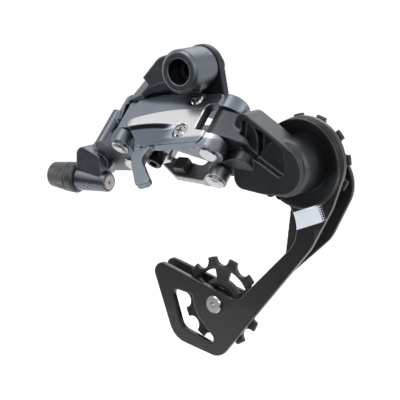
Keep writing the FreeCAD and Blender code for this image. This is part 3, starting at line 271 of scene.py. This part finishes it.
def plate_finish():
    """Outer cage plate: satin black with a pale patch that breaks up into dots, and two faint triangles."""
    paint = forged("outer cage plate", BLACK, 0.0, 0.33, coat=0.15)
    x = paint.along((1, 0, 0))
    up = paint.along((0, 0, 1))
    out = paint.along((0, 1, 0))
    tilt = math.radians(22.5)
    run = paint.math("ADD", paint.math("MULTIPLY", x, math.cos(tilt)),
                     paint.math("MULTIPLY", up, math.sin(tilt)))
    rise = paint.math("SUBTRACT", paint.math("MULTIPLY", up, math.cos(tilt)),
                      paint.math("MULTIPLY", x, math.sin(tilt)))
    outer_skin = paint.step(out, 5.6, 5.0)
    band = paint.math("MULTIPLY", paint.step(rise, -88.0, -87.8), paint.step(rise, -79.4, -79.6))
    solid = paint.step(run, 33.6, 33.4)
    dot_x = paint.math("SUBTRACT", paint.math("FRACT", paint.math("MULTIPLY", run, 0.9)), 0.5)
    dot_y = paint.math("SUBTRACT", paint.math("FRACT", paint.math("MULTIPLY", rise, 0.9)), 0.5)
    dot = paint.math("SQRT",
                     paint.math("ADD", paint.math("POWER", dot_x, 2.0), paint.math("POWER", dot_y, 2.0)))
    fade = paint.step(run, 38.0, 33.0)
    dotted = paint.math("LESS_THAN", dot, paint.math("MULTIPLY", fade, 0.55))
    patch = paint.math("MULTIPLY", paint.math("MULTIPLY", paint.math("MAXIMUM", solid, dotted), band),
                       outer_skin)
    patch = paint.math("MULTIPLY", patch, paint.step(up, -90.0, -88.0))
    halo = paint.math("MULTIPLY", paint.step(rise, -79.0, -74.0), paint.step(rise, -66.0, -72.0))
    halo = paint.math("MULTIPLY", paint.math("MULTIPLY", halo, outer_skin), 0.35)
    lower = paint.math("MULTIPLY", paint.step(rise, -103.5, -103.3), paint.step(rise, -90.4, -90.6))
    slope = paint.math("MULTIPLY_ADD", rise, 0.42, 66.0)
    wedge = paint.step(paint.math("SUBTRACT", run, slope), -0.2, 0.2)
    triangles = paint.math("MULTIPLY", paint.math("MULTIPLY", lower, wedge),
                           paint.math("MULTIPLY", outer_skin, 0.5))
    # paint.drift holds the colour drift and the painted edge highlight
    color = paint.mix(halo, paint.drift, (0.035, 0.040, 0.052))
    color = paint.mix(triangles, color, (0.034, 0.039, 0.048))
    color = paint.mix(patch, color, (0.60, 0.64, 0.71))
    paint.set_color(color)
    return paint


link_paint = link_finish()
plate_paint = plate_finish()

FINISH = {
    "b_knuckle": grey, "hanger_bolt": blackened, "hanger_sleeve": bush, "b_stop_plate": plate_steel,
    "b_tension_screw": blackened, "adjuster_knob": grip, "adjuster_barrel": blackened, "cable_liner": liner,
    "outer_rear_pin": bright, "inner_rear_pin": bright, "outer_front_pin": bright, "inner_front_pin": bright,
    "outer_rear_bush": bush, "inner_rear_bush": bush, "outer_front_bush": bush, "inner_front_bush": bush,
    "outer_link": link_paint, "high_limit_screw": bright, "low_limit_screw": bright,
    "cable_anchor_bolt": blackened, "cable_clamp_washer": bright, "inner_link": silver,
    "limit_stop_block": polymer, "return_spring": bright, "p_knuckle": dark, "cage_bush": bush,
    "cage_spring": bright_across, "cage_seal": rubber, "cage_axle": blackened,
          "outer_cage_plate": plate_paint,
    "inner_cage_plate": inner_black, "cage_stop_pin": blackened, "upper_pulley_bolt": blackened,
    "lower_pulley_bolt": bright_across, "upper_pulley": polymer, "lower_pulley": polymer,
    "upper_pulley_bush": blackened, "lower_pulley_bush": blackened, "upper_pulley_shields": bright_across,
    "lower_pulley_shields": bright_across,
}

BODY_OF = {node: body for body, nodes in frame["record"]["behaviour"]["bodies"].items() for node in nodes}


def clothe(obj, paint):
    """Give an object one material."""
    obj.data.materials.clear()
    obj.data.materials.append(paint.material)


for node, obj in frame["nodes"].items():
    if obj.material_slots:
        for place in obj.material_slots:
            place.material = FINISH[node].material
    else:
        obj.data.materials.append(FINISH[node].material)


# ---------------------------------------------------------------- soft-edged forgings

def skin_of(node, voxel):
    """New mesh over a node's solid, with even small faces that can be smoothed and carved."""
    source = frame["nodes"][node]
    mesh = source.data.copy()
    obj = bpy.data.objects.new(node + "_skin", mesh)
    bpy.context.scene.collection.objects.link(obj)
    weld = obj.modifiers.new("weld", "WELD")
    weld.merge_threshold = WELD_GAP * MM
    grid = obj.modifiers.new("grid", "REMESH")
    grid.mode = "VOXEL"
    grid.voxel_size = voxel * MM
    grid.use_smooth_shade = True
    graph = bpy.context.evaluated_depsgraph_get()
    baked = bpy.data.meshes.new_from_object(obj.evaluated_get(graph))
    obj.modifiers.clear()
    obj.data = baked
    return obj


SMOOTH_IN = 0.55       # share of the way to the neighbours' middle
SMOOTH_OUT = -0.50     # then back out by nearly as much, which keeps the volume
WELD_GAP = 0.002


def neighbours(mesh):
    """Edge ends as an array, and the number of edges at each point."""
    ends = np.empty(len(mesh.edges) * 2, dtype=np.int64)
    mesh.edges.foreach_get("vertices", ends)
    ends = ends.reshape(-1, 2)
    count = np.bincount(ends.ravel(), minlength=len(mesh.vertices)).astype(float)
    return ends, count[:, None]


def points_of(mesh):
    """Every point of a mesh, in millimetres."""
    points = np.empty(len(mesh.vertices) * 3)
    mesh.vertices.foreach_get("co", points)
    return points.reshape(-1, 3) / MM


def put_points(mesh, points):
    """Move every point of a mesh to the places given, in millimetres."""
    mesh.vertices.foreach_set("co", (points * MM).ravel())
    mesh.update()


def smoothed(points, ends, count, passes):
    """Round the edges by averaging, then push back so that the body doesn't shrink."""
    for _ in range(passes):
        for amount in (SMOOTH_IN, SMOOTH_OUT):
            total = np.zeros_like(points)
            np.add.at(total, ends[:, 0], points[ends[:, 1]])
            np.add.at(total, ends[:, 1], points[ends[:, 0]])
            points = points + (total / count - points) * amount
    return points


def ramp(value, low, high):
    """0 below low, 1 above high, smooth between."""
    t = np.clip((value - low) / (high - low), 0, 1)
    return t * t * (3 - 2 * t)


def slanted(points):
    """Forward, across and along-the-pins coordinates of some points."""
    return points[:, 0], points @ np.array(ACROSS), points @ np.array(PINS)


def carve_link(points):
    """Scoop below the crescent, and a crowned upper edge."""
    x, across, level = slanted(points)
    outside = ramp(across, 8.5, 5.5)
    bottom = -34.2 - 0.0065 * (x + 6.0) ** 2
    floor = -43.2 - 0.011 * (x - 10.0) ** 2
    scoop = ramp(bottom - level, -0.3, 3.0) * ramp(x, 5.0, -8.0) * ramp(level - floor, -0.5, 2.5)
    depth = 2.0 * scoop * outside
    crown = 1.6 * ramp(level, -24.0, -15.0) * ramp(across, 8.5, 5.0) * ramp(x, 22.0, 12.0)
    return points + np.array(ACROSS) * (depth + crown)[:, None]


def forge(node, voxel, passes, carve=None, paint=None):
    """Replace a node with a soft-edged skin of the same solid."""
    obj = skin_of(node, voxel)
    mesh = obj.data
    ends, count = neighbours(mesh)
    points = points_of(mesh)
    if carve:
        points = carve(points)
    points = smoothed(points, ends, count, passes)
    low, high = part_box(node)
    points = np.clip(points, np.array(low) / MM, np.array(high) / MM)
    put_points(mesh, points)
    mesh.polygons.foreach_set("use_smooth", [True] * len(mesh.polygons))
    clothe(obj, paint or FINISH[node])
    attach(obj, BODY_OF[node])
    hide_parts(node)
    return obj


forge("b_knuckle", 0.35, 4)
forge("outer_link", 0.35, 6, carve_link)
forge("p_knuckle", 0.4, 7)
forge("inner_link", 0.4, 12)
forge("outer_cage_plate", 0.35, 14)
forge("inner_cage_plate", 0.4, 5)
forge("upper_pulley", 0.3, 3)
forge("lower_pulley", 0.3, 3)
forge("b_stop_plate", 0.4, 3)
forge("adjuster_knob", 0.3, 4)


# ---------------------------------------------------------------- stage

CORNERS = [(-1, -1), (1, -1), (1, 1), (-1, 1)]
middle = (0.005, 0.0, -0.06)      # what the lights and cards face

def panel(name, size, place, aim, strength, color=(1, 1, 1), width=None):
    """Soft rectangular light."""
    data = bpy.data.lights.new(name, "AREA")
    data.shape = "RECTANGLE"
    data.size = size
    data.size_y = width or size
    data.energy = strength
    data.color = color
    obj = bpy.data.objects.new(name, data)
    obj.location = place
    obj.rotation_euler = (Vector(aim) - Vector(place)).to_track_quat("-Z", "Y").to_euler()
    bpy.context.scene.collection.objects.link(obj)
    return obj


def card(name, place, width, height):
    """Black card that only the object's reflections see, for dark shades in the metal."""
    mesh = bpy.data.meshes.new(name + "_card")
    mesh.from_pydata([(x * width / 2, y * height / 2, 0) for x, y in CORNERS], [], [(0, 1, 2, 3)])
    obj = bpy.data.objects.new(name + "_card", mesh)
    obj.location = place
    obj.rotation_euler = (Vector(middle) - Vector(place)).to_track_quat("Z", "Y").to_euler()
    obj.visible_camera = False
    obj.visible_shadow = False
    obj.visible_diffuse = False
    bpy.context.scene.collection.objects.link(obj)
    clothe(obj, Paint(name + " card", (0.004, 0.004, 0.004), 0.0, 1.0))


FLOOR_LEVEL = -0.30
FLOOR_SIDE = 6.0


def floor():
    """Pale floor well under the part, which hangs above it as it does on a bicycle."""
    mesh = bpy.data.meshes.new("floor")
    mesh.from_pydata([(x * FLOOR_SIDE, y * FLOOR_SIDE, FLOOR_LEVEL) for x, y in CORNERS], [], [(0, 1, 2, 3)])
    obj = bpy.data.objects.new("floor", mesh)
    bpy.context.scene.collection.objects.link(obj)
    paint = Paint("floor", (1.0, 1.0, 1.0), 0.0, 1.0)
    clothe(obj, paint)


floor()
panel("key", 0.7, (-0.3, -0.7, 1.1), middle, 7.5)
panel("front", 0.4, (0.9, -1.0, 0.5), middle, 2.0)
panel("side", 0.3, (-1.1, -0.5, 0.2), middle, 2.4, width=1.0)
panel("rim", 0.3, (1.1, 0.6, 0.4), middle, 3.0, width=0.9)
panel("back", 0.8, (-0.3, 1.1, 0.9), middle, 3.0)
card("left", (-0.30, -0.42, -0.10), 0.42, 0.34)
card("low", (0.10, -0.20, -0.27), 0.60, 0.42)
card("right", (0.62, -0.12, -0.02), 0.30, 0.40)

world = bpy.data.worlds.new("studio")
world.use_nodes = True
sky = world.node_tree.nodes["Background"]
sky.inputs["Color"].default_value = (1, 1, 1, 1)
sky.inputs["Strength"].default_value = 1.0
bpy.context.scene.world = world
bpy.context.scene.view_settings.view_transform = "Standard"

camera = bpy.data.cameras.new("camera")
camera.lens = 140.85              # millimetres
camera.sensor_width = 36
viewer = bpy.data.objects.new("camera", camera)
viewer.location = (0.436648, -0.607863, 0.100377)
target = Vector((0.007293, -0.014733, -0.061953))
viewer.rotation_euler = (target - viewer.location).to_track_quat("-Z", "Y").to_euler()
bpy.context.scene.collection.objects.link(viewer)
bpy.context.scene.camera = viewer
